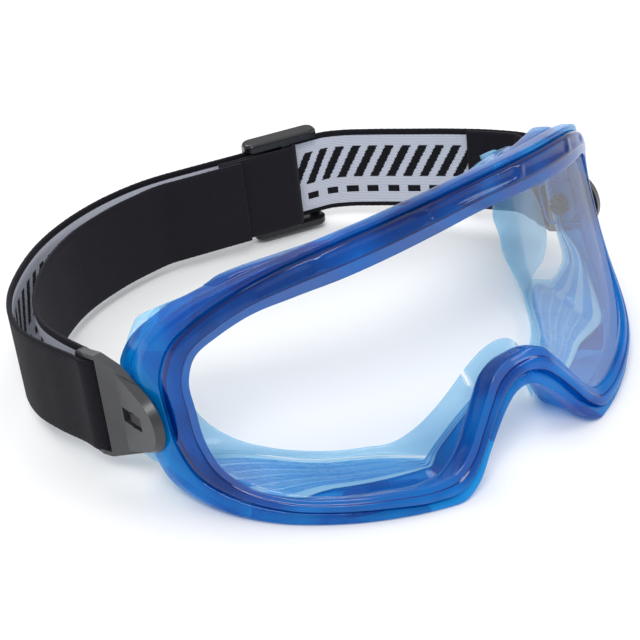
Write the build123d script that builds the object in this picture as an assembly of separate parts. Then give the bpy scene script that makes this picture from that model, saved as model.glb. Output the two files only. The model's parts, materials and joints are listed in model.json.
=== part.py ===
from build123d import *
import math
import os

# Safety goggles on an adjustable elastic head strap, lying on a table. All lengths in mm.
# Goggle frame: X to the wearer's left, Y back towards the face, Z up the lens, origin at the lens front.
# Strap frame: origin on the pivot axis, Y back along the strap, Z across the strap's width.

# --- sizes that drive the part ---
LENS_R = 97.0          # radius of the lens and of the rim's front face, axis along Z
LEAN = 20.4            # the goggles lean back on the table, degrees
FLOOR = -42.2          # the table, below the lens front
RIM_DEPTH = 9.0        # rim, front to back
STEP = 2.2             # the skirt's front edge lies this far behind the rim's crest
SKIRT_TOP = 37.8       # the skirt's roof, and the vent cover and seal that follow it
COVER_TOP = 39.4
SEAL_TOP = 35.8
BODY_BACK = 21.0       # back of the hard skirt, behind the rim's front face
FACE_R = 68.0          # radius of the face side of the seal
FACE_Y = 31.0          # face side of the seal at the forehead
SEAL_BACK = 75.0       # the seal's temples stop here
LENS_T = 2.0
BODY_WALL = 2.4
SEAL_WALL = 1.6
FLOOR_GAP = 0.5        # skirt's underside above the table

STRAP_W = 30.0
STRAP_T = 1.5
PIN_Y, PIN_Z = 61.0, 4.7     # pivot axis in the goggle frame
PIN_R = 2.6
PIN_FIT = 0.06         # radial clearance of a pin in the skirt's boss
CLIP_X = 86.95         # inner face of a clip
CLIP_T = 2.6
BAR_X, BAR_Y = 91.3, 18.5    # the clip's strap bar, in the strap frame

BUCKLE_W, BUCKLE_H = 27.0, 37.0
RAIL_H = 2.8           # the buckle's end rails, above and below the strap
BUCKLE_LIFT = 1.0      # the elastic holds the buckle this far above the table
BUCKLE_X, BUCKLE_Y = 34.0, 88.5    # middle of the buckle at rest, on the running strap
TRACK_ANGLE = -16.3    # direction of the strap through the buckle
TRAVEL = 15.0          # modelled part of the buckle's adjustment
GAP = 0.35             # between pieces that move

OUT = [(0, 43.3), (15, 43.0), (30, 42.2), (44, 41.2), (56, 39.4), (66, 36.9), (75, 33.2), (81.8, 27.6),
       (85.6, 20), (86.3, 10), (86.4, 0), (86.6, -8), (85.4, -16.5), (80.3, -25.2), (72, -31.4), (61, -36),
       (48.5, -39.6), (37.5, -42.2), (29, -42.8), (22, -38.8), (16.5, -32), (11.4, -26), (7, -21.8),
       (3.4, -19.5), (0, -18.8)]
RIM = [(0, 41.7), (15, 41.4), (30, 40.6), (44, 39.5), (56, 37.6), (65, 34.8), (73, 30.6), (79.3, 25),
       (82.8, 17), (83.9, 6), (83.8, -6), (81.8, -15.4), (76.7, -22.8), (69.4, -28.2), (59, -32.4),
       (46.6, -35.8), (36.4, -38.2), (28.9, -38.4), (22.6, -34.2), (17, -27.4), (12.2, -21.6), (7.8, -17.4),
       (3.8, -15.4), (0, -14.8)]
OPENING = [(0, 33.2), (20, 31.9), (40, 30.3), (56, 29.3), (64, 27.9), (71, 24.6), (76.2, 20.6), (78.6, 14.8),
           (79.3, 5), (79.3, -6), (77.6, -14), (73.4, -20.6), (67, -25.2), (57, -28.8), (45, -31.6),
           (35, -33.2), (28.5, -32.4), (23.5, -28.6), (18.8, -22.4), (14.2, -16.2), (9.4, -10.6),
           (4.6, -8.6), (0, -8.4)]
FACE = [(0, 28), (25, 27.6), (45, 25), (57, 19), (63, 9), (64, -2), (62, -10), (56, -17), (48, -21.5),
        (38, -25), (28, -27), (20, -25.5), (13, -19), (7, -12), (0, -8.6)]


# --- helpers ---
def grow(points, d):
    """The half outline moved outwards by d, keeping its ends on the middle plane."""
    out = []
    for i, (x, z) in enumerate(points):
        a = points[i - 1] if i else (-points[1][0], points[1][1])
        b = points[i + 1] if i + 1 < len(points) else (-points[i - 1][0], points[i - 1][1])
        tx, tz = b[0] - a[0], b[1] - a[1]
        n = math.hypot(tx, tz)
        out.append((x - d * tz / n if 0 < i < len(points) - 1 else 0.0, z + d * tx / n))
    return out


def prism(points, y0=-20.0, y1=120.0):
    """The outline, mirrored to both sides and run through from y0 to y1."""
    pts = [Vector(x, y0, z) for x, z in points]
    right = Spline(*pts, tangents=[(1, 0, 0), (-1, 0, 0)])
    left = mirror(right, about=Plane.YZ)
    return extrude(make_face([right, left]), amount=y1 - y0, dir=(0, 1, 0))


def behind(shift, r=LENS_R):
    """Everything behind the lens cylinder moved back by shift."""
    drum = Pos(0, shift + r, 0) * Cylinder(r, 240)
    return drum + Pos(0, shift + r + 100, 0) * Box(2 * r, 200, 240)


def layer(points, front, back):
    return prism(points) & (behind(front) - behind(back))


def above(height):
    """Everything more than height above the table, in the goggle frame."""
    slab = Pos(0, 0, 150 + height) * Box(400, 400, 300)
    return Rot(LEAN, 0, 0) * Pos(0, 0, FLOOR) * slab


def below(z):
    """Everything lower than z in the goggle frame."""
    return Pos(0, 0, z - 100) * Box(400, 400, 200)


def band(path, width=STRAP_W, thick=STRAP_T):
    """A strap standing on edge along a flat path."""
    start = path @ 0
    across = Plane(origin=start, x_dir=Vector(0, 0, 1), z_dir=path % 0)
    return sweep(across * Rectangle(width, thick), path=path, transition=Transition.RIGHT)


c, s = math.cos(math.radians(LEAN)), math.sin(math.radians(LEAN))
PIN_UP = c * PIN_Z - s * PIN_Y - FLOOR

# --- goggles ---
rim = (layer(RIM, 0, RIM_DEPTH) - prism(OPENING)) & above(0)
rim -= prism(grow(OPENING, 2.0)) & (behind(-1) - behind(1.5))   # lip set back round the opening
for x in (-46, 0, 46):                                # shallow pockets along the top bar
    rim -= Pos(x, 0, 38.6) * Box(26, 2 * LENS_R, 3.4) & (behind(-1) - behind(0.8))
rim -= layer(grow(OPENING, 2.6), 2.8, 3.2 + LENS_T)   # groove that holds the lens
lens = layer(grow(OPENING, 2.4), 3.0, 3.0 + LENS_T)

nose_room = Pos(0, 34, -60) * Cylinder(20, 120)
boss = Pos(85.4, PIN_Y, PIN_Z) * Rot(0, 90, 0) * Cylinder(6.5, 1.6)
bore = Pos(0, PIN_Y, PIN_Z) * Rot(0, 90, 0) * Cylinder(PIN_R + PIN_FIT, 200)


def tube(inset, wall, lift, roof, front, back):
    """A wall behind the rim: open at front and back, its underside lift above the table."""
    outer = prism(grow(OUT, -inset)) & above(lift) & below(roof)
    inner = prism(grow(OUT, -inset - wall)) & above(lift + wall) & below(roof - wall)
    return (outer - inner) & (front - back)


skirt = (layer(OUT, STEP, RIM_DEPTH) & above(0)) - prism(RIM)
skirt += tube(1.4, BODY_WALL, FLOOR_GAP, SKIRT_TOP, behind(RIM_DEPTH), behind(BODY_BACK)) - nose_room
skirt += boss + mirror(boss, about=Plane.YZ)
skirt -= bore + layer(RIM, 0, RIM_DEPTH)
rim -= Pos(0, PIN_Y, PIN_Z) * Rot(0, 90, 0) * Cylinder(PIN_R + GAP, 200)

vent_zone = Pos(0, 0, 52) * Box(132, 200, 50)
vent_cover = tube(-0.2, 1.5, FLOOR_GAP, COVER_TOP, behind(11.0), behind(BODY_BACK - 0.5)) & vent_zone
vent_slots = Compound([Pos(x, 16 + x * x / 190, 40) * Box(5, 1.6, 14) for x in range(-54, 55, 9)])
vent_cover -= vent_slots

face_side = behind(FACE_Y, FACE_R) + Pos(0, SEAL_BACK + 50, 0) * Box(300, 100, 300)
face_front = Pos(0, -SEAL_WALL, 0) * face_side
seal_wall = tube(2.0, SEAL_WALL, 1.4, SEAL_TOP, behind(BODY_BACK), face_front) - nose_room
flange = (prism(grow(OUT, -1.5)) - prism(FACE)) & (face_front - face_side) & above(1.4) & below(SEAL_TOP)
flange -= nose_room

FLAP = [(0, -5.5), (6, -6.3), (11, -8.6), (17, -12.5), (24, -18), (31, -24), (36.5, -29), (37, -33),
        (34, -35.5), (29, -36), (22, -32), (16, -24.5), (11, -17.5), (6, -13.8), (0, -12.8)]
nose_flap = prism(FLAP) & (behind(RIM_DEPTH) - behind(RIM_DEPTH + SEAL_WALL)) & above(3.4)
nose_flap &= prism(grow(OUT, -4.2))
slit = Rot(0, -50, 0) * Box(9, 60, 0.7)
nose_flap -= Pos(-10, 12, -9.5) * slit

# --- clips and pivot pins, in the strap frame ---
plan = Polyline((CLIP_X + CLIP_T / 2, -14), (CLIP_X + CLIP_T / 2, 6), (BAR_X, 16), (BAR_X, 21))
outline = make_hull((Pos(-1.5, 0) * Circle(10.3)).edges() + (Pos(15.5, 0) * RectangleRounded(11, 34, 3)).edges())
plate = Pos(70, 0, 0) * Rot(0, 90, 0) * Rot(0, 0, 90) * extrude(outline, 40)
plate &= extrude(trace(plan, CLIP_T), 30, both=True)
tip_face = [f for f in plate.faces().filter_by(Axis.X) if abs(f.center().X - CLIP_X - CLIP_T) < 0.01][0]
plate = chamfer(tip_face.edges().filter_by(GeomType.CIRCLE), 1.1, 2.4, reference=tip_face)
plate -= Pos(BAR_X, BAR_Y - 4.0, 0) * Box(20, 4.2, STRAP_W + 1.0)
plate -= Rot(0, 90, 0) * Cylinder(PIN_R, 400)
WINDOW_X = CLIP_X + 1.0
plate -= Pos(WINDOW_X + 5, 0.6, 0) * Box(10, 9.0, 4.6)
pin_bits = [(79.4, 80.8, 2.9), (80.8, 82.3, 3.5), (82.3, WINDOW_X, PIN_R)]
pin = Pos(WINDOW_X + 0.55, -0.6, 0) * Box(1.1, 5.4, 3.2)
for a, b, r in pin_bits:
    pin += Pos((a + b) / 2, 0, 0) * Rot(0, 90, 0) * Cylinder(r, b - a)
pin -= Pos(80, 0, 0) * Box(6, 20, 1.2)

# --- strap, in the strap frame ---
fold_r = CLIP_T / 2 + GAP + STRAP_T / 2
t = math.radians(TRACK_ANGLE)


def track(u, v, z=0.0):
    """A point u along the strap from the buckle's middle and v outwards from the running strap."""
    return Vector(BUCKLE_X + u * math.cos(t) - v * math.sin(t), BUCKLE_Y + u * math.sin(t) + v * math.cos(t), z)


def run(points, start=(0, 1), end=None):
    return Spline(*[Vector(p) for p in points], tangents=[start, end or (math.cos(t), math.sin(t))])


def clip_fold():
    y0, x0 = BAR_Y - 1.6, BAR_X
    turn = ThreePointArc((x0 + fold_r, y0), (x0, y0 - fold_r), (x0 - fold_r, y0))
    return Wire([Line((x0 + fold_r, BAR_Y + 2), (x0 + fold_r, y0)), turn,
                 Line((x0 - fold_r, y0), (x0 - fold_r, BAR_Y + 2))])


OUT_X, IN_X, RUN_Y = BAR_X + fold_r, BAR_X - fold_r, BAR_Y + 2.1
near_end, far_end = track(-TRAVEL - BUCKLE_W / 2 - 8.5, 0), track(BUCKLE_W / 2 + 1.5, 0)
outer_run = run([(-OUT_X, RUN_Y), (-95.6, 33), (-96.2, 44), (-93.6, 55.5), (-87.5, 67), (-77, 79),
                 (-62, 90.8), (-46, 98.2), (-30, 101.8), (-15, 101.9), near_end])
track_run = Line(near_end, far_end)
far_run = run([(OUT_X, RUN_Y), (92.3, 26.5), (87.5, 37), (80, 48.5), (70.5, 61), (61.5, 72.5), (55, 79.8),
               far_end], end=(-math.cos(t), -math.sin(t)))
LAP_V = -7.5           # the inner run lies on the head side of the sewn end
inner_run = run([(-IN_X, RUN_Y), (-90, 33), (-89.6, 43), (-86, 54), (-78.5, 66), (-67, 78), (-54, 86.8),
                 (-39, 92), (-23, 94.3), track(-45, LAP_V)])
lap_run = Line(track(-45, LAP_V), track(-17, LAP_V))
beside = [far_run @ k + Vector(-(far_run % k).Y, (far_run % k).X) * (STRAP_T + 0.12)
          for k in (0.14, 0.2, 0.26, 0.34)]
tail = Spline(Vector(IN_X, RUN_Y), *beside, tangents=[(0, 1), far_run % 0.34])

bar_u, bar_v, loop_r = 1.0, -3.7, 1.9
sewn_path = Wire([
    Line(track(-24, -4.0), track(-15, -4.0)),
    Spline(track(-15, -4.0), track(-9, -3.1), track(-3, bar_v + loop_r),
           tangents=[(math.cos(t), math.sin(t)), (math.cos(t), math.sin(t))]),
    Line(track(-3, bar_v + loop_r), track(bar_u + 1, bar_v + loop_r)),
    ThreePointArc(track(bar_u + 1, bar_v + loop_r), track(bar_u + 1 + loop_r, bar_v),
                  track(bar_u + 1, bar_v - loop_r)),
    Line(track(bar_u + 1, bar_v - loop_r), track(-24, bar_v - loop_r))])


# --- buckle, in the strap frame ---
def bar(u, v, width, thick, height):
    block = Box(width, thick, height)
    block = fillet(block.edges().filter_by(Axis.Z), thick * 0.4)
    return Location(track(u, v), (0, 0, TRACK_ANGLE)) * block


rail = fillet(Box(BUCKLE_W, 7.6, RAIL_H).edges().filter_by(Axis.Z), 3.2)
rail = fillet(rail.faces().sort_by(Axis.Z)[-1].edges(), 1.2)
buckle = Compound([])
for up in (1, -1):
    seat = Location(track(0, -0.8, up * (BUCKLE_H - RAIL_H) / 2), (0 if up > 0 else 180, 0, up * TRACK_ANGLE))
    buckle += seat * rail
for u in (-BUCKLE_W / 2 + 2.4, BUCKLE_W / 2 - 2.4):
    buckle += bar(u, STRAP_T / 2 + GAP + 1.0, 3.8, 2.0, BUCKLE_H - 4)
buckle += bar(bar_u, bar_v, 4.0, 2.0, BUCKLE_H - 4)

end_stitches = Compound([Location(track(-20, bar_v - loop_r - STRAP_T / 2 - 0.1, z), (0, 0, TRACK_ANGLE))
                         * Box(0.5, 0.2, 1.7) for z in [-13.2 + 2.4 * i for i in range(12)]])
seam = tail @ 0.7
lean = math.degrees(math.atan2((tail % 0.7).Y, (tail % 0.7).X))
tail_stitches = Compound([Location(seam + Vector(0, 0, z), (0, 0, lean)) * Pos(0, STRAP_T / 2 + 0.12, 0)
                          * Box(0.5, 0.2, 1.7) for z in [-13.2 + 2.4 * i for i in range(12)]])

goggle = {"front_rim": rim, "lens": lens, "skirt": skirt, "top_vent_cover": vent_cover,
          "seal_wall": seal_wall, "seal_flange": flange, "nose_flap": nose_flap}
on_strap = {"clip_left": plate, "clip_right": mirror(plate, about=Plane.YZ),
            "pin_left": pin, "pin_right": mirror(pin, about=Plane.YZ),
            "strap_fold_left": band(clip_fold()),
            "strap_fold_right": mirror(band(clip_fold()), about=Plane.YZ),
            "strap_outer_run": band(outer_run), "strap_track": band(track_run),
            "strap_far_run": band(far_run), "strap_inner_run": band(inner_run), "strap_lap": band(lap_run),
            "strap_tail": band(tail), "strap_sewn_end": band(sewn_path), "buckle": buckle,
            "end_stitching": end_stitches, "tail_stitching": tail_stitches}

foot = buckle.bounding_box()
reach = math.hypot(foot.max.Y, foot.min.Z)
DROP = math.degrees(math.asin((PIN_UP - BUCKLE_LIFT) / reach) - math.atan2(-foot.min.Z, foot.max.Y))
nodes = {k: Rot(-LEAN, 0, 0) * v for k, v in goggle.items()}
pivot = Pos(0, c * PIN_Y + s * PIN_Z, c * PIN_Z - s * PIN_Y) * Rot(-DROP, 0, 0)
nodes.update({k: pivot * v for k, v in on_strap.items()})
box = Compound(list(nodes.values())).bounding_box()
home = Pos(-box.center().X, -box.center().Y, -box.min.Z)
os.makedirs("parts", exist_ok=True)
for name, shape in nodes.items():
    print(name, round(shape.volume), shape.is_valid, len(shape.solids()), (home * shape).bounding_box())
    export_step(home * shape, f"parts/{name}.step")
print("home", home.position, "pin", (home * pivot).position, "drop", DROP, "floor", FLOOR)
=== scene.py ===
import json
import math

import bpy
import numpy as np
from mathutils import Euler, Matrix, Vector


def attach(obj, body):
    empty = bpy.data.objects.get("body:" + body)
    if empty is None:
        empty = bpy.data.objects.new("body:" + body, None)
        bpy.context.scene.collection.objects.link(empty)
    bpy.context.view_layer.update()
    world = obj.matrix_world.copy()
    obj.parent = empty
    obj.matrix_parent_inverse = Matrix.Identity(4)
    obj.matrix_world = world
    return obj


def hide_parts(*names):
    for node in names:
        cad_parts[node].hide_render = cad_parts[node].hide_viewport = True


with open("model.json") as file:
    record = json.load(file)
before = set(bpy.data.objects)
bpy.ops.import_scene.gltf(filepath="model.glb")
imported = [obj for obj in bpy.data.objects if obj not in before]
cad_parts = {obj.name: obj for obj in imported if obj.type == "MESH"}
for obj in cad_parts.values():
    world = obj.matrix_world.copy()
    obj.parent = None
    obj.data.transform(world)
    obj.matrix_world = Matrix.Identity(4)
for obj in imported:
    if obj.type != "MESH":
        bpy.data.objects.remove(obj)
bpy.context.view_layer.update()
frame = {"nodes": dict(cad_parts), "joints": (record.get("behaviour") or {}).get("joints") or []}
scene = bpy.context.scene

# ---------------------------------------------------------------- frames of reference
# Goggle and strap frames share the pivot line of the clips. Shapes are written in mm in those frames.
PIVOT = np.array(next(j for j in frame["joints"] if j["name"] == "right_clip_swivel")["pos_m"])
LEAN = math.radians(20.4)
DROP = math.radians(3.55)
PIN_Y, PIN_Z = 61.0, 4.7           # the pivot line in the goggle frame
LENS_R = 97.0                      # the lens and the rim's front face are cylinders, axis along Z
FACE_R, FACE_Y = 68.0, 31.0        # the seal's face side: radius and foremost line
SEAL_BACK = 75.0                   # the seal's temples stop here
RIM_BACK, SKIRT_BACK = 9.0, 21.0   # backs of the rim and skirt, behind the lens cylinder
SKIRT_TOP, COVER_TOP, SEAL_TOP = 37.8, 38.9, 35.8


def turned(p, angle):
    """Points turned about X, so that +Y dips below the horizontal for a positive angle."""
    c, s = math.cos(angle), math.sin(angle)
    return np.stack([p[..., 0], c * p[..., 1] + s * p[..., 2], c * p[..., 2] - s * p[..., 1]], -1)


def goggle(p):
    """Points in the goggle frame, in mm, to the scene."""
    return turned((np.asarray(p, float) - (0, PIN_Y, PIN_Z)) / 1000, LEAN) + PIVOT


def strap_space(p):
    """Points in the strap frame, in mm, to the scene."""
    return turned(np.asarray(p, float) / 1000, DROP) + PIVOT


def front(x):
    """How far the lens cylinder lies behind its foremost line."""
    return LENS_R - np.sqrt(LENS_R ** 2 - np.clip(x, 1 - LENS_R, LENS_R - 1) ** 2)


def table_z(y, lift=0.0):
    """Height in the goggle frame of a plane lift above the table."""
    down = -PIVOT[2] * 1000
    return PIN_Z + ((down + lift) + math.sin(LEAN) * (y - PIN_Y)) / math.cos(LEAN)


# ---------------------------------------------------------------- outlines (right half, top to nose)
# Each has the same number of points, which lie beside each other.
OPENING = [(0, 33.2), (14, 32.5), (28, 31.4), (42, 30.2), (54, 29.4), (64, 27.9), (71, 24.6), (76.2, 20.6),
           (78.6, 14.8), (79.3, 5), (79.3, -6), (77.6, -14), (73.4, -20.6), (67, -25.2), (57, -28.8),
           (45, -31.6), (35, -33.2), (28.5, -32.4), (23.5, -28.6), (18.8, -22.4), (14.2, -16.2),
           (9.4, -10.6), (4.6, -8.6), (0, -8.4)]
RIM = [(0, 41.7), (15, 41.4), (30, 40.6), (44, 39.5), (56, 37.6), (65, 34.8), (73, 30.6), (79.3, 25),
       (82.8, 17), (83.9, 6), (83.8, -6), (81.8, -15.4), (76.7, -22.8), (69.4, -28.2), (59, -32.4),
       (46.6, -35.8), (36.4, -38.2), (28.9, -38.4), (22.6, -34.2), (17, -27.4), (12.2, -21.6), (7.8, -17.4),
       (3.8, -15.4), (0, -14.8)]
OUT = [(0, 43.3), (15, 43.0), (30, 42.2), (44, 41.2), (56, 39.4), (66, 36.9), (75, 33.2), (81.8, 27.6),
       (85.6, 20), (86.4, 7), (86.6, -7), (85, -17.2), (79.6, -25.8), (71.5, -31.7), (61, -36), (48.5, -39.6),
       (37.5, -42.2), (29, -42.8), (22, -38.8), (16.5, -32), (11.4, -26), (7, -21.8), (3.4, -19.5), (0, -18.8)]
FACE = [(0, 28), (13, 28), (25, 27.6), (36, 26.5), (46, 24.5), (53, 21.5), (58, 17.5), (61.5, 12.5),
        (63.5, 7), (64, 0), (63.5, -6), (61.8, -11.5), (58.8, -16), (54, -19.8), (47.5, -23), (40, -25.6),
        (33, -27.2), (27, -28), (22, -25), (18.2, -20.6), (14.2, -15.4), (10.2, -10.4), (5.4, -7), (0, -5.9)]
# depth of the flange behind the nose, by the point's place in the outline
NOSE_Y = {17: 35.0, 18: 29.0, 19: 23.5, 20: 18.5, 21: 14.5, 22: 12.3, 23: 11.6}


def face_y(x):
    """Depth of the seal's face side."""
    return FACE_Y + FACE_R - np.sqrt(FACE_R ** 2 - np.clip(np.abs(x), 0, FACE_R - 0.5) ** 2)


def closed(half):
    """The half outline mirrored into a closed ring of rows."""
    rows = np.array(half, float)
    other = rows[1:-1][::-1].copy()
    other[:, 0] *= -1
    return np.vstack([rows, other])


def ring(half, counts):
    """A smooth closed curve through the ring's points, with counts samples in each span."""
    p = closed(half)
    n = len(p)
    prev, nxt = np.roll(p, 1, 0), np.roll(p, -1, 0)
    a = np.linalg.norm((p - prev)[:, :2], axis=1)[:, None]
    b = np.linalg.norm((nxt - p)[:, :2], axis=1)[:, None]
    slope = ((p - prev) / a * b + (nxt - p) / b * a) / (a + b)
    out = []
    for i in range(n):
        j = (i + 1) % n
        t = (np.arange(counts[i]) / counts[i])[:, None]
        h = b[i]
        out.append((2 * t ** 3 - 3 * t ** 2 + 1) * p[i] + (t ** 3 - 2 * t ** 2 + t) * h * slope[i]
                   + (3 * t ** 2 - 2 * t ** 3) * p[j] + (t ** 3 - t ** 2) * h * slope[j])
    return np.vstack(out)


SAMPLE = 1.15          # mm between the samples round an outline
corners = closed(RIM)
lengths = np.linalg.norm(np.roll(corners, -1, 0) - corners, axis=1)
COUNTS = [max(4, int(round(length / SAMPLE))) for length in lengths]
edge_c, rim_c, out_c, face_c = (ring(half, COUNTS) for half in (OPENING, RIM, OUT, FACE))
N = len(rim_c)
tangent = np.roll(out_c, -2, 0) - np.roll(out_c, 2, 0)
tangent /= np.linalg.norm(tangent, axis=1)[:, None]
inward = np.stack([tangent[:, 1], -tangent[:, 0]], 1)


def flange_depths(outline, shift, limit):
    """Depth of the face flange along an outline, no further back than limit."""
    half = [(x, z, NOSE_Y.get(i, float(min(face_y(x - shift), limit)))) for i, (x, z) in enumerate(outline)]
    return ring(half, COUNTS)[:, 2]


rim_y = flange_depths(OUT, 1.5, SEAL_BACK)
edge_y = flange_depths(FACE, 0, SEAL_BACK - 0.4)


def smooth(a, b, x):
    """0 at a rising smoothly to 1 at b."""
    t = np.clip((x - a) / (b - a), 0, 1)
    return t * t * (3 - 2 * t)


# ---------------------------------------------------------------- meshes
def mesh_piece(name, verts, faces, mats, body, node_names=(), uvs=None, index=None):
    """A smooth-shaded mesh that rides body; uvs has one row for each vertex, index one material for each face."""
    me = bpy.data.meshes.new(name)
    me.from_pydata([tuple(v) for v in verts], [], [tuple(f) for f in faces])
    if uvs is not None:
        layer = me.uv_layers.new(name="UVMap")
        flat = np.array(uvs, float)
        loops = np.empty(len(me.loops), int)
        me.loops.foreach_get("vertex_index", loops)
        layer.data.foreach_set("uv", flat[loops].ravel())
    for m in mats:
        me.materials.append(m)
    if index is not None:
        me.polygons.foreach_set("material_index", index)
    me.update()
    ob = bpy.data.objects.new(name, me)
    scene.collection.objects.link(ob)
    me.polygons.foreach_set("use_smooth", [True] * len(me.polygons))
    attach(ob, body)
    if node_names:
        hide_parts(*node_names)
    return ob


def grid_faces(u, v, wrap_u=True, skip=lambda i, j: False):
    """Quads over u rows of v points; each row is closed, and the rows are too unless wrap_u is False."""
    return [(i * v + j, i * v + (j + 1) % v, ((i + 1) % u) * v + (j + 1) % v, ((i + 1) % u) * v + j)
            for i in range(u if wrap_u else u - 1) for j in range(v) if not skip(i, j)]


def refine(ob):
    m = ob.modifiers.new("smooth", "SUBSURF")
    m.levels = m.render_levels = 1


# ---------------------------------------------------------------- materials
def new_material(name):
    mat = bpy.data.materials.new(name)
    mat.use_nodes = True
    nt = mat.node_tree
    nt.nodes.clear()
    out = nt.nodes.new("ShaderNodeOutputMaterial")
    return mat, nt, out


def node(nt, kind, inputs=None, **props):
    n = nt.nodes.new(kind)
    for k, v in props.items():
        setattr(n, k, v)
    for k, v in (inputs or {}).items():
        if isinstance(v, bpy.types.NodeSocket):
            nt.links.new(v, n.inputs[k])
        else:
            n.inputs[k].default_value = v
    return n


def math_node(nt, op, a, b=0.0, c=0.0):
    n = nt.nodes.new("ShaderNodeMath")
    n.operation = op
    for i, v in enumerate((a, b, c)):
        if isinstance(v, bpy.types.NodeSocket):
            nt.links.new(v, n.inputs[i])
        else:
            n.inputs[i].default_value = v
    return n.outputs[0]


def noise(nt, scale, detail=3.0, rough=0.5, vector=None):
    if vector is None:
        vector = nt.nodes.new("ShaderNodeTexCoord").outputs["Object"]
    return node(nt, "ShaderNodeTexNoise", {"Vector": vector, "Scale": scale, "Detail": detail,
                                           "Roughness": rough}).outputs["Fac"]


def ramp(nt, fac, stops):
    r = nt.nodes.new("ShaderNodeValToRGB")
    nt.links.new(fac, r.inputs[0])
    while len(r.color_ramp.elements) < len(stops):
        r.color_ramp.elements.new(0.5)
    for e, (pos, col) in zip(r.color_ramp.elements, stops):
        e.position, e.color = pos, (*col, 1)
    return r.outputs[0]


def bump(nt, height, strength, distance):
    return node(nt, "ShaderNodeBump", {"Height": height, "Strength": strength, "Distance": distance}).outputs[0]


def facet_shading(nt, scale):
    """Straight-edged patches of painted shading, standing in for the moulding's facets, 0 to 1."""
    where = nt.nodes.new("ShaderNodeTexCoord").outputs["Object"]
    cells = node(nt, "ShaderNodeTexVoronoi", {"Vector": where, "Scale": scale})
    return node(nt, "ShaderNodeSeparateXYZ", {0: cells.outputs["Color"]}).outputs[0]


def tinted_plastic(name, dark_tone, mid, light_tone, clear, see_through, rough=0.14, facet_shade=0.0, specular=0.35):
    """Translucent moulded plastic: light passes tinted, and the surface keeps a soft gloss. Its colour carries
    painted light, lighter towards the table, and can carry painted shading of facets.
    """
    mat, nt, out = new_material(name)
    where = nt.nodes.new("ShaderNodeTexCoord").outputs["Object"]
    height = node(nt, "ShaderNodeSeparateXYZ", {0: where}).outputs[2]
    # painted light: lighter near the table; from 75 mm up down to the floor, the tone rises from -0.12 to 0.14
    painted_low_light = node(nt, "ShaderNodeMapRange", {0: height, 1: 0.075, 2: 0.0, 3: -0.12, 4: 0.14}).outputs[0]
    tone = math_node(nt, "ADD", noise(nt, 38.0, 2.0), painted_low_light)
    # painted shading: straight-edged patches lighter and darker, standing in for facets
    if facet_shade:
        plain = math_node(nt, "MULTIPLY", tone, 1 - facet_shade)
        tone = math_node(nt, "MULTIPLY_ADD", facet_shading(nt, 55.0), facet_shade, plain)
    col = ramp(nt, tone, [(0.3, dark_tone), (0.5, mid), (0.7, light_tone)])
    normal = bump(nt, noise(nt, 900.0, 2.0), 0.03, 0.0004)
    rough_fac = math_node(nt, "MULTIPLY_ADD", tone, 0.1, rough - 0.05)
    skin = node(nt, "ShaderNodeBsdfPrincipled", {"Base Color": col, "Roughness": rough_fac, "Normal": normal,
                                                  "IOR": 1.46, "Specular IOR Level": specular,
                                                  "Coat Weight": 0.35, "Coat Roughness": 0.05})
    through = node(nt, "ShaderNodeBsdfTransparent", {"Color": (*clear, 1)})
    mix = node(nt, "ShaderNodeMixShader", {0: 1 - see_through, 1: through.outputs[0], 2: skin.outputs[0]})
    nt.links.new(mix.outputs[0], out.inputs[0])
    return mat


def lens_material():
    mat, nt, out = new_material("clear_lens")
    gloss = node(nt, "ShaderNodeBsdfGlossy", {"Color": (0.9, 0.94, 1.0, 1), "Roughness": 0.03})
    through = node(nt, "ShaderNodeBsdfTransparent", {"Color": (0.972, 0.978, 0.985, 1)})
    fresnel = node(nt, "ShaderNodeFresnel", {"IOR": 1.3})
    haze = noise(nt, 30.0, 2.0)
    amount = math_node(nt, "MULTIPLY_ADD", haze, 0.01, math_node(nt, "MULTIPLY", fresnel.outputs[0], 0.16))
    mix = node(nt, "ShaderNodeMixShader", {0: amount, 1: through.outputs[0], 2: gloss.outputs[0]})
    nt.links.new(mix.outputs[0], out.inputs[0])
    return mat


def moulded(name, colour, light, rough, bump_scale=700.0, strength=0.12, specular=0.5):
    mat, nt, out = new_material(name)
    tone = noise(nt, 45.0, 4.0)
    grain = noise(nt, bump_scale, 3.0)
    col = ramp(nt, tone, [(0.3, colour), (0.75, light)])
    r = math_node(nt, "MULTIPLY_ADD", tone, 0.16, rough - 0.08)
    b = node(nt, "ShaderNodeBsdfPrincipled", {"Base Color": col, "Roughness": r, "Specular IOR Level": specular,
                                               "Normal": bump(nt, grain, strength, 0.0003)})
    nt.links.new(b.outputs[0], out.inputs[0])
    return mat


RIM_MAT = tinted_plastic("rim_blue", (0.0, 0.02, 0.13), (0.0, 0.075, 0.34), (0.0, 0.22, 0.64),
                         (0.06, 0.5, 0.93), 0.4, 0.08)
# painted sheen: a lighter, greyer copy of the rim blue for the sloping bevel
BEVEL_SHEEN_MAT = tinted_plastic("rim_bevel_painted_sheen", (0.07, 0.12, 0.36), (0.03, 0.13, 0.44), (0.0, 0.2, 0.6),
                           (0.3, 0.62, 0.95), 0.4, 0.14)
# painted shade: a darker copy of the rim blue for the lines where the ridge meets the bevel and the flange
RIM_SHADE_MAT = tinted_plastic("rim_painted_shade", (0.0, 0.006, 0.06), (0.0, 0.016, 0.13), (0.0, 0.04, 0.24),
                          (0.03, 0.25, 0.75), 0.25, 0.08)
# the skirt's colour carries painted shading of facets
SKIRT_MAT = tinted_plastic("skirt_blue", (0.02, 0.045, 0.24), (0.0, 0.12, 0.48), (0.0, 0.36, 0.8),
                           (0.12, 0.66, 0.98), 0.5, 0.12, 0.35)
SEAL_MAT = tinted_plastic("seal_pale_blue", (0.32, 0.64, 0.9), (0.42, 0.74, 0.95), (0.52, 0.82, 0.98),
                          (0.78, 0.93, 0.995), 0.62, 0.2, 0.0, 0.3)
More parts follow.
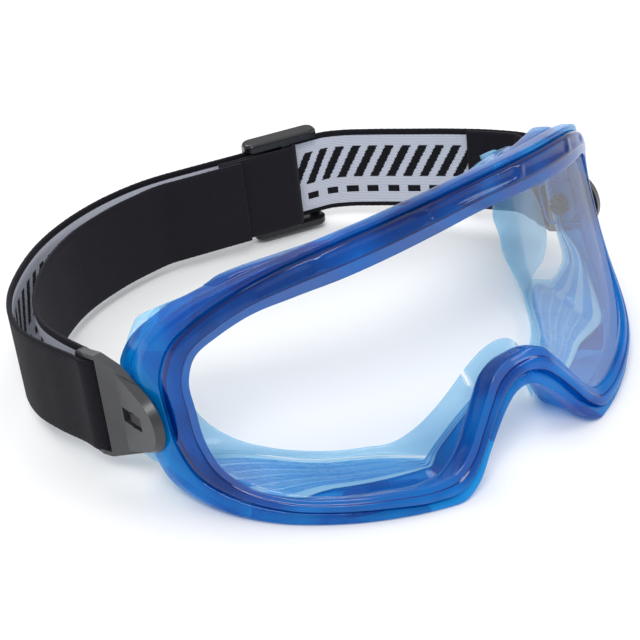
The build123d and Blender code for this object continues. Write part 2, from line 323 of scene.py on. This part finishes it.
# painted shade: a deeper blue copy of the seal's colour for the dark lines in the bellows' creases
FOLD_SHADE_MAT = tinted_plastic("seal_fold_painted_shade", (0.0, 0.12, 0.46), (0.0, 0.2, 0.62), (0.02, 0.34, 0.78),
                          (0.35, 0.75, 0.98), 0.4, 0.2, 0.0, 0.25)
LENS_MAT = lens_material()
CLIP_MAT = moulded("clip_grey", (0.022, 0.023, 0.025), (0.042, 0.043, 0.046), 0.34)
PIN_MAT = moulded("pin_black", (0.003, 0.003, 0.004), (0.008, 0.008, 0.009), 0.38, strength=0.05, specular=0.25)
BUCKLE_MAT = moulded("buckle_black", (0.004, 0.004, 0.005), (0.009, 0.009, 0.011), 0.2, strength=0.05,
                     specular=0.45)


def strap_uv(nt):
    uv = node(nt, "ShaderNodeUVMap", uv_map="UVMap")
    sep = node(nt, "ShaderNodeSeparateXYZ", {0: uv.outputs[0]})
    return uv.outputs[0], sep.outputs[0], sep.outputs[1]


def ribs(nt, value, period):
    """0 to 1 round ridges at the given period."""
    wave = math_node(nt, "SINE", math_node(nt, "MULTIPLY", value, 2 * math.pi / period))
    return math_node(nt, "MULTIPLY_ADD", wave, 0.5, 0.5)


def box_fn(nt, value, painted_low_light, high):
    return math_node(nt, "MULTIPLY", math_node(nt, "GREATER_THAN", value, painted_low_light),
                     math_node(nt, "LESS_THAN", value, high))


def webbing(name, jacquard):
    """Elastic webbing; UV is (along, across) in mm. The jacquard face is white with black stripes and borders."""
    mat, nt, out = new_material(name)
    uv, along, across = strap_uv(nt)
    rows = ribs(nt, across, 0.62)
    cols = ribs(nt, along, 0.55)
    weave = math_node(nt, "MULTIPLY", math_node(nt, "ADD", rows, 0.35),
                      math_node(nt, "ADD", cols, 0.5))
    fuzz = noise(nt, 2.6, 4.0, 0.65, uv)
    if jacquard:
        a = math_node(nt, "SNAP", math_node(nt, "ADD", along, math_node(nt, "MULTIPLY", fuzz, 0.25)), 0.45)
        h = math_node(nt, "SNAP", across, 0.5)
        lean = math_node(nt, "MULTIPLY_ADD", h, 0.55, a)
        stripe = box_fn(nt, math_node(nt, "FLOORED_MODULO", lean, 6.0), 1.0, 4.2)    # 3.2 mm in every 6
        bars = math_node(nt, "MULTIPLY", box_fn(nt, h, -3.2, 8.6), stripe)
        dash = math_node(nt, "MULTIPLY", box_fn(nt, math_node(nt, "FLOORED_MODULO", a, 7.5), 1.5, 5.8),
                         box_fn(nt, h, -9.2, -6.6))
        border = math_node(nt, "GREATER_THAN", math_node(nt, "ABSOLUTE", across), 13.1)
        ink = math_node(nt, "MAXIMUM", math_node(nt, "MAXIMUM", bars, dash), border)
        ink = math_node(nt, "MINIMUM", math_node(nt, "MAXIMUM", ink, 0.0), 1.0)
        white = ramp(nt, math_node(nt, "MULTIPLY", rows, fuzz),
                     [(0.0, (0.42, 0.44, 0.52)), (0.45, (0.66, 0.68, 0.76))])
        black = ramp(nt, fuzz, [(0.2, (0.004, 0.004, 0.006)), (0.8, (0.01, 0.01, 0.014))])
        col = node(nt, "ShaderNodeMix", {0: ink, 6: white, 7: black}, data_type="RGBA").outputs[2]
    else:
        speck = math_node(nt, "MULTIPLY_ADD", weave, 0.3, math_node(nt, "MULTIPLY", fuzz, 0.7))
        col = ramp(nt, speck, [(0.2, (0.0035, 0.003, 0.005)), (0.85, (0.013, 0.012, 0.018))])
    height = math_node(nt, "MULTIPLY_ADD", fuzz, 0.8, weave)
    b = node(nt, "ShaderNodeBsdfPrincipled", {"Base Color": col, "Roughness": 0.85, "Sheen Weight": 0.06,
                                               "Sheen Roughness": 0.4, "Specular IOR Level": 0.15,
                                               "Normal": bump(nt, height, 0.5, 0.0002)})
    nt.links.new(b.outputs[0], out.inputs[0])
    return mat


BLACK_WEB = webbing("webbing_black", False)
WHITE_WEB = webbing("webbing_jacquard", True)

# ---------------------------------------------------------------- rim
# cross-section from the opening (w = 0) to the outer edge (w = 1), with depth behind the lens cylinder
SECTION = [(0.0, 2.8), (0.0, 1.9), (0.02, 1.5), (0.05, 1.25), (0.16, 1.0), (0.28, 0.8), (0.38, 0.6), (0.44, 0.3),
           (0.5, 0.08), (0.6, 0.0), (0.74, 0.0), (0.84, 0.12), (0.92, 0.5), (0.97, 1.1), (1.0, 2.0), (1.0, 2.8),
           (1.0, 5.0), (0.995, 7.6), (0.98, 8.7), (0.92, 8.95), (0.7, 8.95), (0.4, 8.95), (0.16, 8.9),
           (0.08, 8.2), (0.02, 6.4), (0.0, 5.4), (0.0, 4.2)]
STRIPS = {2: 1, 3: 1, 4: 1, 5: 1, 6: 2, 12: 2, 13: 2}    # painted sheen on the bevel, and painted shade along the edges beside the ridge


def pocket(x):
    """1 inside the shallow pockets of the top bar, 0 on the ribs between them."""
    a = np.abs(x)
    fit = np.zeros_like(a)
    fade = 1.3
    for lo, hi in ((-99, 17.2), (19, 46.4), (48.2, 63)):
        fit = np.maximum(fit, smooth(lo, lo + fade, a) * (1 - smooth(hi - fade, hi, a)))
    return fit


POCKET_DEPTH = 0.8
grid = np.zeros((N, len(SECTION), 3))
upper = smooth(22, 30, rim_c[:, 1])
for j, (w, depth) in enumerate(SECTION):
    p = edge_c + (rim_c - edge_c) * w
    s = np.full(N, depth)
    if depth < 1 and 0.45 < w < 0.95:
        s = s + POCKET_DEPTH * pocket(p[:, 0]) * upper * (smooth(0.45, 0.58, w) * (1 - smooth(0.78, 0.9, w)))
    grid[:, j] = np.stack([p[:, 0], front(p[:, 0]) + s, p[:, 1]], 1)
floor_line = table_z(grid[..., 1])
grid[..., 2] = np.maximum(grid[..., 2], floor_line + 0.02)
# the bevel strips carry painted sheen, and the strips beside the ridge painted shade
rim = mesh_piece("rim_shell", goggle(grid).reshape(-1, 3), grid_faces(N, len(SECTION)),
                 [RIM_MAT, BEVEL_SHEEN_MAT, RIM_SHADE_MAT], "goggle", ["front_rim"],
                 index=[STRIPS.get(j, 0) for i in range(N) for j in range(len(SECTION))])
refine(rim)

# ---------------------------------------------------------------- lens
# rings of points from the centre out to the groove in the rim, on the front and then on the back
RINGS = 14
LENS_FRONT, LENS_BACK = 3.0, 5.0
centre = np.array([0.0, 8.0])
groove = edge_c + (rim_c - edge_c) * 0.28
verts = []
for depth in (LENS_FRONT, LENS_BACK):
    for k in range(1, RINGS + 1):
        p = centre + (groove - centre) * k / RINGS
        verts.append(np.stack([p[:, 0], front(p[:, 0]) + depth, p[:, 1]], 1))
verts = np.vstack(verts + [[[centre[0], LENS_FRONT, centre[1]], [centre[0], LENS_BACK, centre[1]]]])
faces = []
for is_back in (0, 1):
    base = is_back * RINGS * N
    for k in range(RINGS - 1):
        for i in range(N):
            inner, outer = base + k * N, base + (k + 1) * N
            quad = (inner + i, inner + (i + 1) % N, outer + (i + 1) % N, outer + i)
            faces.append(quad if is_back else quad[::-1])
    tip = 2 * RINGS * N + is_back
    for i in range(N):
        a, b = base + i, base + (i + 1) % N
        faces.append((b, a, tip) if is_back else (a, b, tip))
a, b = (RINGS - 1) * N, (2 * RINGS - 1) * N
faces += [(a + i, a + (i + 1) % N, b + (i + 1) % N, b + i) for i in range(N)]
mesh_piece("lens_shell", goggle(verts), faces, [LENS_MAT], "goggle", ["lens"])


# ---------------------------------------------------------------- skirt, vent cover and seal
def wall(name, rows, mats, nodes, skip=lambda i, j: False, lift=0.5, folds=()):
    """A closed wall from rows of ring points in the goggle frame, at least lift above the table.

    The strips in folds take the second material, which paints shade into the creases, and the faces that skip
    picks are left out."""
    g = np.stack(rows, 1)
    g[..., 2] = np.maximum(g[..., 2], table_z(g[..., 1], lift))
    faces = grid_faces(N, len(rows), skip=skip)
    index = [int(f[0] % len(rows) in folds) for f in faces]
    refine(mesh_piece(name, goggle(g).reshape(-1, 3), faces, mats, "goggle", nodes, index=index))


def ring_at(inset, depth, roof=99.0):
    """Points inset from the outer outline, depth behind the lens cylinder and no higher than roof."""
    p = out_c + inward * np.reshape(inset, (-1, 1))
    ease = 1.5             # mm over which the ring bends to level
    over = np.maximum(p[:, 1] - roof + ease, 0)
    z = np.minimum(p[:, 1], roof - ease) + ease * np.tanh(over / ease)
    return np.stack([p[:, 0], front(p[:, 0]) + depth, z], 1)


def between(w, depth):
    """Points part way from the rim's crest outline to the outer outline."""
    p = rim_c + (out_c - rim_c) * w
    return np.stack([p[:, 0], front(p[:, 0]) + depth, p[:, 1]], 1)


# 1 under the nose and 0 elsewhere; the 99 keeps the top of the ring out
nose = 1 - smooth(14, 30, np.abs(out_c[:, 0]) + np.where(out_c[:, 1] > 0, 99, 0))
reach = rim_y - front(out_c[:, 0])                      # depth of the face flange behind the lens cylinder
sides = smooth(50, 72, np.abs(out_c[:, 0]))
# the skirt ends further forward low on the sides, and always in front of the flange and behind the rim
skirt_back = np.minimum(SKIRT_BACK - 8.5 * sides * smooth(2, -14, out_c[:, 1]), reach - 2.6)
skirt_back = np.maximum(skirt_back, RIM_BACK + 0.6)


def skirt_ring(inset, f, roof):
    """A ring of the skirt's side wall, the fraction f of the way from the rim's back to its own."""
    return ring_at(inset, RIM_BACK + (skirt_back - RIM_BACK) * f, roof)


# once round the wall's section: the flange beside the rim, the outside, the rear edge and back inside
rows = [between(w, d) for w, d in [(0.02, 2.6), (0.2, 2.3), (0.55, 2.2), (0.85, 2.3), (0.97, 2.6), (1.0, 3.4),
                                   (1.0, 5.5), (1.0, 8.2)]]
rows += [ring_at(0.3, RIM_BACK), ring_at(1.0, RIM_BACK + 0.3, SKIRT_TOP + 2.5)]
rows += [skirt_ring(inset, f, SKIRT_TOP)
         for inset, f in [(1.4, 0.08), (1.4, 0.4), (1.5, 0.8), (1.6, 0.97), (2.2, 1.0)]]
rows += [skirt_ring(inset, f, SKIRT_TOP - 2.4)
         for inset, f in [(3.6, 1.0), (3.8, 0.95), (3.8, 0.5), (3.8, 0.1)]]
rows += [between(0.02, 8.6), between(0.02, 5.6)]
wall("skirt_shell", rows, [SKIRT_MAT], ["skirt"])

# the vent cover follows the top of the ring and closes onto the skirt at its two ends
idx = np.where((np.abs(out_c[:, 0]) < 66) & (out_c[:, 1] > 25))[0]
idx = np.concatenate([idx[idx > N // 2], idx[idx <= N // 2]])
ends = 1 - smooth(61, 65.5, np.abs(out_c[:, 0]))
cover_rise = (COVER_TOP - SKIRT_TOP) * ends[idx].mean()
cover_rows = []
for inset, depth, up in [(1.6, 11.0, 0), (0.3, 11.5, 1), (0.2, 15, 1), (0.3, 19.4, 1), (0.7, 20.2, 0.8),
                         (1.6, 20.4, 0), (2.0, 20.2, 0), (2.0, 11.2, 0)]:
    cover_rows.append(ring_at(1.5 - (1.5 - inset) * ends * up, depth, SKIRT_TOP + cover_rise * up)[idx])
g = np.stack(cover_rows, 1)
cover = mesh_piece("vent_cover_shell", goggle(g).reshape(-1, 3),
                   grid_faces(len(idx), len(cover_rows), wrap_u=False),
                   [SKIRT_MAT], "goggle", ["top_vent_cover"])
refine(cover)

seal_start = skirt_back - 1.0
# 1 at the temple corners, where the seal is drawn in
corner = (smooth(2, 24, out_c[:, 1]) + smooth(-6, -22, out_c[:, 1])) * smooth(60, 80, np.abs(out_c[:, 0]))
CORNER_INSET = 5.0
SEAL_FALL = 0.22       # mm down for each mm back


def seal_roof(y):
    """The seal's top, which falls away towards the temples from 40 mm back."""
    return SEAL_TOP - 0.2 - SEAL_FALL * np.clip(y - 40, 0, 40)


# (inset from the outline, fraction of the way back), through two folds
BELLOWS = [(3.4, 0.0), (4.0, 0.12), (7.6, 0.26), (8.2, 0.36), (4.2, 0.52), (3.8, 0.62), (6.8, 0.78), (6.4, 0.9),
           (2.8, 1.0)]
MEAN_INSET, SEAL_THICK = 3.0, 1.1
# the folds are shallower where the seal is short, under the nose and along the bottom
room = np.clip((reach - seal_start) / 14, 0.35, 1.0)
side_amp = (1 - 0.85 * nose) * (1 - 0.55 * smooth(20, 32, -out_c[:, 1]))


def seal_ring(inset, f, thick=0.0):
    """A ring of the bellows; thick moves it inwards, for the inner face."""
    ins = MEAN_INSET + (inset - MEAN_INSET) * side_amp * room + thick + CORNER_INSET * f * corner
    depth = seal_start + (reach - 0.8 - seal_start) * f
    return ring_at(ins, depth, seal_roof(front(out_c[:, 0]) + depth) - thick)


rows = [seal_ring(i, f) for i, f in BELLOWS] + [seal_ring(i, f, SEAL_THICK) for i, f in BELLOWS[::-1]]
# the fold strips carry painted shade
wall("seal_bellows", rows, [SEAL_MAT, FOLD_SHADE_MAT], ["seal_wall"], lift=1.0, folds=(2, 4, 6, 11, 13, 15))

# the flange on the face, with a slit each side of the nose; the rows run from its outer edge to the inner
# one on the face side, and back on the lens side
FLANGE_SLIT_X = 10.6
outer = ring_at(1.6 + CORNER_INSET * corner, 0.0, seal_roof(rim_y))
outer[:, 1] = rim_y
inner = np.stack([face_c[:, 0], edge_y, face_c[:, 1]], 1)
slit_at = [i for i in range(N) if abs(abs(face_c[i, 0]) - FLANGE_SLIT_X) < 0.45 and face_c[i, 1] < 0]
rows = []
for f, off in [(0, 0.0), (0.03, 0.5), (0.25, 0.3), (0.5, 0.1), (0.75, 0.3), (0.97, 0.5), (1.0, 0.2),
               (1.0, -0.3), (0.97, -0.6), (0.75, -0.9), (0.5, -1.1), (0.25, -0.9), (0.03, -0.7)]:
    p = outer + (inner - outer) * f
    p[:, 1] += off - 0.4
    rows.append(p)
wall("seal_face_flange", rows, [SEAL_MAT], ["seal_flange", "nose_flap"],
     skip=lambda i, j: i in slit_at and 3 <= j <= 9, lift=1.4)


# ---------------------------------------------------------------- raised surrounds of the pins, inside the skirt
SURROUND_X = 82.3
SURROUND_Y, SURROUND_Z = 9.0, 7.0          # half sizes
CORNER_R, BEAD_R = 3.0, 0.5


def pin_surround(name, side):
    """A bead along a rounded rectangle about the pin, on the side +1 or -1."""
    turns = np.linspace(0, 2 * math.pi, 36, endpoint=False)
    tube = np.linspace(0, 2 * math.pi, 8, endpoint=False)
    rows = []
    for a in turns:
        c, s = math.cos(a), math.sin(a)
        y = PIN_Y + np.sign(c) * (SURROUND_Y - CORNER_R) + CORNER_R * c
        z = PIN_Z + np.sign(s) * (SURROUND_Z - CORNER_R) + CORNER_R * s
        rows.append([(side * (SURROUND_X + BEAD_R * math.cos(b)),
                      y + BEAD_R * math.sin(b) * c, z + BEAD_R * math.sin(b) * s) for b in tube])
    # the bead takes the bevel's lighter copy of the rim blue, with its painted sheen
    refine(mesh_piece(name, goggle(np.array(rows)).reshape(-1, 3), grid_faces(len(turns), len(tube)),
                      [BEVEL_SHEEN_MAT], "goggle"))


pin_surround("pin_surround_left", 1)
pin_surround("pin_surround_right", -1)


# ---------------------------------------------------------------- strap
def spline(points, step=1.0, start=None, end=None):
    """Points every step mm along a smooth curve through the given ones."""
    p = np.array(points, float)
    d = np.linalg.norm(np.diff(p, axis=0), axis=1)
    m = np.zeros_like(p)
    before, after = d[:-1, None], d[1:, None]
    m[1:-1] = ((p[1:-1] - p[:-2]) / before * after + (p[2:] - p[1:-1]) / after * before) / (before + after)
    m[0] = start if start is not None else (p[1] - p[0]) / d[0]
    m[-1] = end if end is not None else (p[-1] - p[-2]) / d[-1]
    out = []
    for i in range(len(d)):
        k = max(2, int(d[i] / step))
        t = (np.arange(k) / k)[:, None]
        out.append((2 * t ** 3 - 3 * t ** 2 + 1) * p[i] + (t ** 3 - 2 * t ** 2 + t) * d[i] * m[i]
                   + (3 * t ** 2 - 2 * t ** 3) * p[i + 1] + (t ** 3 - t ** 2) * d[i] * m[i + 1])
    return np.vstack(out + [p[-1:]])


T = math.radians(-16.3)            # direction of the strap through the buckle
BUCKLE_X, BUCKLE_Y = 34.0, 88.5    # middle of the buckle
STRAP_W, STRAP_T = 30.0, 1.5


def track(u, v):
    """A point u along the strap from the buckle's middle and v outwards from the running strap."""
    return (BUCKLE_X + u * math.cos(T) - v * math.sin(T), BUCKLE_Y + u * math.sin(T) + v * math.cos(T))


def arc(cx, cy, r, a0, a1, n=14):
    t = np.radians(np.linspace(a0, a1, n))
    return [(cx + r * math.cos(x), cy + r * math.sin(x)) for x in t]


BAR_X, BAR_Y, FOLD = 91.3, 18.5, 2.4    # the clips' strap bars and the radius of the webbing's turn round them
along_t, back_t = np.array([math.cos(T), math.sin(T)]), -np.array([math.cos(T), math.sin(T)])
left_fold = arc(BAR_X, BAR_Y - 1.6, FOLD, -180, 0)
far = spline([(BAR_X + FOLD, BAR_Y + 0.5), (92.3, 26.5), (87.5, 37), (80, 48.5), (70.5, 61), (61.5, 72.5),
              (55, 79.8), track(15, 0)], start=(0, 1), end=back_t)
outer_run = spline([track(-37, 0), (-15, 101.9), (-30, 101.8), (-46, 98.2), (-62, 90.8), (-77, 79), (-87.5, 67),
                    (-93.6, 55.5), (-96.2, 44), (-95.6, 33), (-BAR_X - FOLD, BAR_Y + 0.5)],
                   start=back_t, end=(0, -1))
right_fold = arc(-BAR_X, BAR_Y - 1.6, FOLD, 180, 360)
inner_run = spline([(-BAR_X + FOLD, BAR_Y + 0.5), (-90, 33), (-89.6, 43), (-86, 54), (-78.5, 66), (-67, 78),
                    (-54, 86.8), (-39, 92), (-23, 94.3), track(-45, -7.5)], start=(0, 1), end=along_t)
# the tail lies inside the far run, just clear of it
far_tangent = np.gradient(far, axis=0)
far_tangent /= np.linalg.norm(far_tangent, axis=1)[:, None]
beside = far + np.stack([-far_tangent[:, 1], far_tangent[:, 0]], 1) * (STRAP_T + 0.12)
tail = spline([(BAR_X - FOLD, BAR_Y + 0.5)] + [tuple(beside[i]) for i in (10, 15, 20, 26)], start=(0, 1))
band_path = np.vstack([tail[::-1], left_fold, far, [track(-8, 0)], outer_run, right_fold, inner_run,
                       [track(-31, -7.5), track(-17, -7.5)]])


def ribbon(name, path, body, nodes, white_left=True, step=0.9):
    """Webbing on edge along a path: rounded edges, jacquard on the left or right face and black elsewhere."""
    d = np.linalg.norm(np.diff(path, axis=0), axis=1)
    keep = np.concatenate([[True], d > 0.05])
    path = path[keep]
    s = np.concatenate([[0], np.cumsum(np.linalg.norm(np.diff(path, axis=0), axis=1))])
    n = int(s[-1] / step)
    t = np.linspace(0, s[-1], n)
    p = np.stack([np.interp(t, s, path[:, 0]), np.interp(t, s, path[:, 1])], 1)
    tan = np.gradient(p, axis=0)
    tan /= np.linalg.norm(tan, axis=1)[:, None]
    side = np.stack([-tan[:, 1], tan[:, 0]], 1)
    half_w, half_t = STRAP_W / 2, STRAP_T / 2
    across = 15            # points across a face
    zs = np.linspace(-half_w + 0.5, half_w - 0.5, across)
    edge = [(half_t * 0.7, half_w - 0.12), (0, half_w), (-half_t * 0.7, half_w - 0.12)]
    prof = [(half_t, z) for z in zs] + edge + [(-half_t, z) for z in zs[::-1]] + [(-x, -z) for x, z in edge]
    v = len(prof)
    g = np.zeros((n, v, 3))
    uv = np.zeros((n, v, 2))
    for j, (off, z) in enumerate(prof):
        wave = 0.10 * np.sin(t * 2.1 + (z > 0) * 1.3) * (abs(z) > half_w - 1)
        g[:, j, 0] = p[:, 0] + side[:, 0] * off
        g[:, j, 1] = p[:, 1] + side[:, 1] * off
        g[:, j, 2] = z - np.sign(z) * np.abs(wave)
        uv[:, j, 0], uv[:, j, 1] = t, z
    faces = grid_faces(n, v, wrap_u=False)
    faces += [tuple(range(v))[::-1], tuple((n - 1) * v + j for j in range(v))]
    first = 0 if white_left else across + len(edge)
    index = [int(len(f) == 4 and first <= f[0] % v < first + across - 1) for f in faces]
    return mesh_piece(name, strap_space(g).reshape(-1, 3), faces, [BLACK_WEB, WHITE_WEB], body, nodes,
                      uvs=uv.reshape(-1, 2), index=index)


ribbon("strap_band", band_path, "strap",
       ["strap_fold_left", "strap_fold_right", "strap_outer_run", "strap_track", "strap_far_run",
        "strap_inner_run", "strap_lap", "strap_tail"])
# the sewn end: forward beside the running strap, round the buckle's middle bar and back
sewn = np.vstack([spline([track(-24, -4.0), track(-15, -4.0), track(-9, -3.1), track(-3, -1.8), track(2, -1.8)],
                         start=along_t, end=along_t),
                  [track(2 + 1.9 * math.sin(a), -3.7 + 1.9 * math.cos(a)) for a in np.linspace(0.2, math.pi, 12)],
                  spline([track(1.8, -5.6), track(-10, -5.6), track(-24, -5.6)])])
ribbon("strap_sewn_end_band", sewn, "buckle", ["strap_sewn_end"], white_left=False)

# ---------------------------------------------------------------- carried-over CAD nodes
for names, mat in ((("clip_left", "clip_right"), CLIP_MAT), (("pin_left", "pin_right"), PIN_MAT),
                   (("buckle",), BUCKLE_MAT), (("end_stitching", "tail_stitching"), BLACK_WEB)):
    for n in names:
        ob = frame["nodes"][n]
        ob.data.materials.clear()
        ob.data.materials.append(mat)

# ---------------------------------------------------------------- floor, light, camera
FLOOR_HALF = 3
me = bpy.data.meshes.new("floor")
me.from_pydata([(x * FLOOR_HALF, y * FLOOR_HALF, 0) for x, y in ((-1, -1), (1, -1), (1, 1), (-1, 1))], [],
               [(0, 1, 2, 3)])
floor = bpy.data.objects.new("floor", me)
scene.collection.objects.link(floor)
mat, nt, out = new_material("pale_floor")
pale = ramp(nt, noise(nt, 3.0), [(0.3, (0.9, 0.9, 0.9)), (0.7, (0.93, 0.93, 0.93))])
shade = node(nt, "ShaderNodeBsdfPrincipled", {"Base Color": pale, "Roughness": 0.7, "Specular IOR Level": 0.1})
nt.links.new(shade.outputs[0], out.inputs[0])
me.materials.append(mat)

world = bpy.data.worlds.new("studio")
scene.world = world
world.use_nodes = True
sky = world.node_tree.nodes["Background"].inputs
sky[0].default_value = (0.97, 0.98, 1.0, 1)
sky[1].default_value = 0.6


def area(name, loc, aim, size, power):
    """A rectangular soft light at loc, turned towards aim."""
    light = bpy.data.lights.new(name, "AREA")
    light.shape, light.size, light.energy = "RECTANGLE", size[0], power
    light.size_y = size[1]
    ob = bpy.data.objects.new(name, light)
    ob.location = loc
    ob.rotation_euler = (Vector(aim) - Vector(loc)).to_track_quat("-Z", "Y").to_euler()
    scene.collection.objects.link(ob)


area("key", (-0.5, -0.5, 0.9), (0, 0, 0.03), (0.45, 0.3), 5.0)
area("fill", (0.8, -0.6, 0.6), (0, 0, 0.03), (0.8, 0.25), 3.0)
area("rear", (0.1, 0.9, 0.8), (0, 0, 0.03), (0.9, 0.3), 4.0)
area("overhead", (0, 0, 1.2), (0, 0, 0), (1.2, 1.2), 4.0)

cam = bpy.data.objects.new("camera", bpy.data.cameras.new("camera"))
scene.collection.objects.link(cam)
# the eye is placed from the clips' pivot, so that it keeps its view if the footprint's middle moves
eye = Vector(PIVOT) + Vector((-0.26602, -0.31926, 0.25946))
tilt, roll, heading = math.radians(57.28), math.radians(3.68), math.radians(-39.76)
cam.matrix_world = Matrix.Translation(eye) @ Euler((tilt, roll, heading)).to_matrix().to_4x4()
cam.data.lens, cam.data.sensor_width = 90.08, 36.0
cam.data.clip_start = 0.01
scene.camera = cam
scene.view_settings.view_transform = "Standard"
